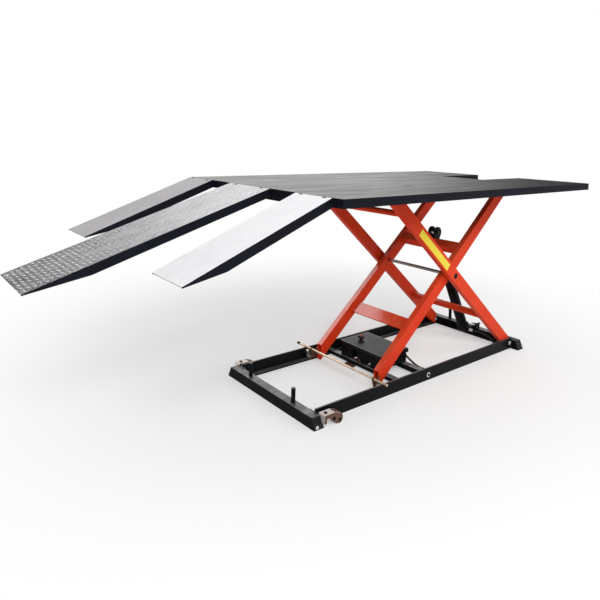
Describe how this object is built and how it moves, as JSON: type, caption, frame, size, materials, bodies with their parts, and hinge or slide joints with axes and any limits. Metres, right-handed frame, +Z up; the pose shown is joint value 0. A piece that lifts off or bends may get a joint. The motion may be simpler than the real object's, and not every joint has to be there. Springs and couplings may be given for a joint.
{
  "type": "motorcycle lift",
  "caption": "A scissor lift for motorcycles and quads: a wide black deck with three hinged ramps on red crossed legs, raised by a foot-pumped hydraulic cylinder.",
  "frame": {"origin": "Centre of the lift's bounding box in X and Y, on the floor (Z = 0), with the deck raised.", "axes": "+X runs from the ramps to the rear of the deck, +Y across the deck to the side away from the camera, +Z up."},
  "size_m": [3.312, 1.216, 1.1084],
  "materials": {
    "leg_paint": "semi-gloss",
    "frame_paint": "semi-gloss",
    "deck_paint": "semi-gloss",
    "ramp_paint": "satin",
    "bright_steel": "brushed",
    "rod_chrome": "polished",
    "yellow_zinc": "satin",
    "hose_rubber": "matte",
    "knob_black": "matte",
    "button_red": "gloss"
  },
  "bodies": {
    "base": {"rail_near": "frame_paint", "rail_far": "frame_paint", "crossbar_front": "frame_paint", "crossbar_rear": "frame_paint", "bearer_front": "frame_paint", "bearer_rear": "frame_paint", "stop_post_front_near": "frame_paint", "stop_post_front_far": "frame_paint", "stop_post_rear_near": "frame_paint", "stop_post_rear_far": "frame_paint", "cylinder_lug": "frame_paint", "pivot_pin_near": "bright_steel", "pivot_pin_far": "bright_steel", "caster_bracket_near": "yellow_zinc", "caster_bracket_far": "yellow_zinc", "pump_body": "frame_paint", "pump_hose": "hose_rubber", "pedal_bracket": "frame_paint"},
    "outer_legs": {"outer_leg_near": "leg_paint", "outer_leg_far": "leg_paint", "outer_tube_lower": "leg_paint", "outer_tube_upper": "leg_paint", "centre_shaft": "bright_steel"},
    "inner_legs": {"inner_leg_near": "leg_paint", "inner_leg_far": "leg_paint", "inner_cross_plate": "leg_paint", "inner_beam": "leg_paint", "clevis": "frame_paint", "clevis_pin": "bright_steel", "foot_bracket_near": "leg_paint", "foot_bracket_far": "leg_paint"},
    "deck": {"deck_centre": "deck_paint", "deck_side_near": "deck_paint", "deck_side_far": "deck_paint", "deck_bearer": "frame_paint", "roller_track_near": "frame_paint", "roller_track_far": "frame_paint", "deck_hinge_near": "frame_paint", "deck_hinge_far": "frame_paint", "hinge_pin_near": "bright_steel", "hinge_pin_far": "bright_steel"},
    "deck_roller_near": {"deck_roller_near": "bright_steel"},
    "deck_roller_far": {"deck_roller_far": "bright_steel"},
    "base_roller_near": {"base_roller_near": "bright_steel"},
    "base_roller_far": {"base_roller_far": "bright_steel"},
    "caster_wheel_near": {"caster_wheel_near": "yellow_zinc"},
    "caster_wheel_far": {"caster_wheel_far": "yellow_zinc"},
    "lock_bar": {"lock_bar": "yellow_zinc"},
    "ramp_near": {"ramp_near": "ramp_paint"},
    "ramp_centre": {"ramp_centre": "ramp_paint"},
    "ramp_far": {"ramp_far": "ramp_paint"},
    "piston_rod": {"piston_rod": "rod_chrome"},
    "cylinder_barrel": {"cylinder_barrel": "frame_paint"},
    "treadle": {"treadle": "deck_paint"},
    "release_knob": {"release_knob": "knob_black"},
    "knob_button": {"knob_button": "button_red"},
    "release_pedal": {"release_pedal": "frame_paint"}
  },
  "joints": [
    {"name": "lift", "type": "hinge", "parent": "base", "child": "outer_legs", "pos_m": [1.356, 0, 0.0388], "axis": [0, -1, 0], "range_deg": [0, 35.7]},
    {"name": "scissor", "type": "hinge", "parent": "outer_legs", "child": "inner_legs", "pos_m": [0.73885, 0, 0.56033], "axis": [0, 1, 0], "range_deg": [0, 71.41]},
    {"name": "deck_level", "type": "hinge", "parent": "inner_legs", "child": "deck", "pos_m": [1.33303, 0, 1.07031], "axis": [0, -1, 0], "range_deg": [0, 35.71]},
    {"name": "cylinder_swing", "type": "hinge", "parent": "inner_legs", "child": "piston_rod", "pos_m": [0.92965, 0, 0.76215], "axis": [0, -1, 0], "range_deg": [0, 86.42]},
    {"name": "cylinder_stroke", "type": "slide", "parent": "piston_rod", "child": "cylinder_barrel", "axis": [-0.4724, 0, 0.8814], "range_m": [0, 0.30466]},
    {"name": "deck_roller_near_spin", "type": "hinge", "parent": "outer_legs", "child": "deck_roller_near", "pos_m": [0.14467, -0.24, 1.07031], "axis": [0, 1, 0], "continuous": true},
    {"name": "base_roller_near_spin", "type": "hinge", "parent": "inner_legs", "child": "base_roller_near", "pos_m": [0.12171, -0.28, 0.0388], "axis": [0, 1, 0], "continuous": true},
    {"name": "caster_near_spin", "type": "hinge", "parent": "base", "child": "caster_wheel_near", "pos_m": [-0.27699, -0.347, 0.0285], "axis": [0, 1, 0], "continuous": true},
    {"name": "deck_roller_far_spin", "type": "hinge", "parent": "outer_legs", "child": "deck_roller_far", "pos_m": [0.14467, 0.24, 1.07031], "axis": [0, 1, 0], "continuous": true},
    {"name": "base_roller_far_spin", "type": "hinge", "parent": "inner_legs", "child": "base_roller_far", "pos_m": [0.12171, 0.28, 0.0388], "axis": [0, 1, 0], "continuous": true},
    {"name": "caster_far_spin", "type": "hinge", "parent": "base", "child": "caster_wheel_far", "pos_m": [-0.27699, 0.347, 0.0285], "axis": [0, 1, 0], "continuous": true},
    {"name": "lock_bar_draw", "type": "slide", "parent": "inner_legs", "child": "lock_bar", "axis": [0, 1, 0], "range_m": [0, 0.45]},
    {"name": "ramp_near_swing", "type": "hinge", "parent": "deck", "child": "ramp_near", "pos_m": [-0.55229, -0.4385, 1.10041], "axis": [0, 1, 0], "range_deg": [0, 105]},
    {"name": "ramp_centre_swing", "type": "hinge", "parent": "deck", "child": "ramp_centre", "pos_m": [-0.55229, 0.0275, 1.10041], "axis": [0, 1, 0], "range_deg": [0, 105]},
    {"name": "ramp_far_swing", "type": "hinge", "parent": "deck", "child": "ramp_far", "pos_m": [-0.55229, 0.487, 1.10041], "axis": [0, 1, 0], "range_deg": [0, 105]},
    {"name": "treadle_rock", "type": "hinge", "parent": "base", "child": "treadle", "pos_m": [0.40051, 0.0195, 0.11], "axis": [0, -1, 0], "range_deg": [-5, 5], "stiffness_Nm_per_rad": 120},
    {"name": "knob_turn", "type": "hinge", "parent": "treadle", "child": "release_knob", "pos_m": [0.38901, 0.109, 0.1233], "axis": [0, 0, 1], "range_deg": [0, 180]},
    {"name": "button_press", "type": "slide", "parent": "release_knob", "child": "knob_button", "axis": [0, 0, -1], "range_m": [0, 0.0035], "stiffness_N_per_m": 800},
    {"name": "pedal_press", "type": "hinge", "parent": "base", "child": "release_pedal", "pos_m": [1.388, -0.056, 0.082], "axis": [0, 1, 0], "range_deg": [0, 12]}
  ],
  "couplings": [
    {"joint": "scissor", "follows": "lift", "ratio": 2},
    {"joint": "deck_level", "follows": "lift", "ratio": 1},
    {"joint": "cylinder_swing", "follows": "lift", "ratio": 2.4203},
    {"joint": "cylinder_stroke", "follows": "lift", "m_per_rad": 0.48894}
  ]
}
